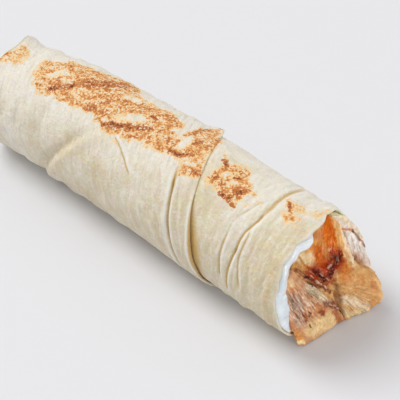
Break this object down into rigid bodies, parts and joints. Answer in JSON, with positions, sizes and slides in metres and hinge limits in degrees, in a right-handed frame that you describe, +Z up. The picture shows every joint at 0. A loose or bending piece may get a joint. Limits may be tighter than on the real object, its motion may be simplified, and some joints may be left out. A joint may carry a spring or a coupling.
{
  "type": "shawarma wrap",
  "caption": "Toasted flatbread roll lying on its side, folded shut at one end and cut open at the other to show roast chicken strips and white sauce.",
  "frame": {"origin": "centre of the wrap's box in plan, on the surface it lies on", "axes": "+X along the roll from the folded end towards the open mouth, +Z up, the side with the sauce and the free edge of the bread facing -Y"},
  "size_m": [0.2008, 0.0566, 0.0533],
  "materials": {
    "flatbread": null,
    "white_sauce": null,
    "chicken_glazed": null,
    "chicken_tan": null,
    "chicken_slice": null,
    "chicken_scrap": null
  },
  "bodies": {
    "root": {"flatbread": "flatbread", "white_sauce": "white_sauce", "chicken_glazed": "chicken_glazed", "chicken_tan": "chicken_tan", "chicken_slice": "chicken_slice", "chicken_scrap": "chicken_scrap"}
  },
  "joints": []
}
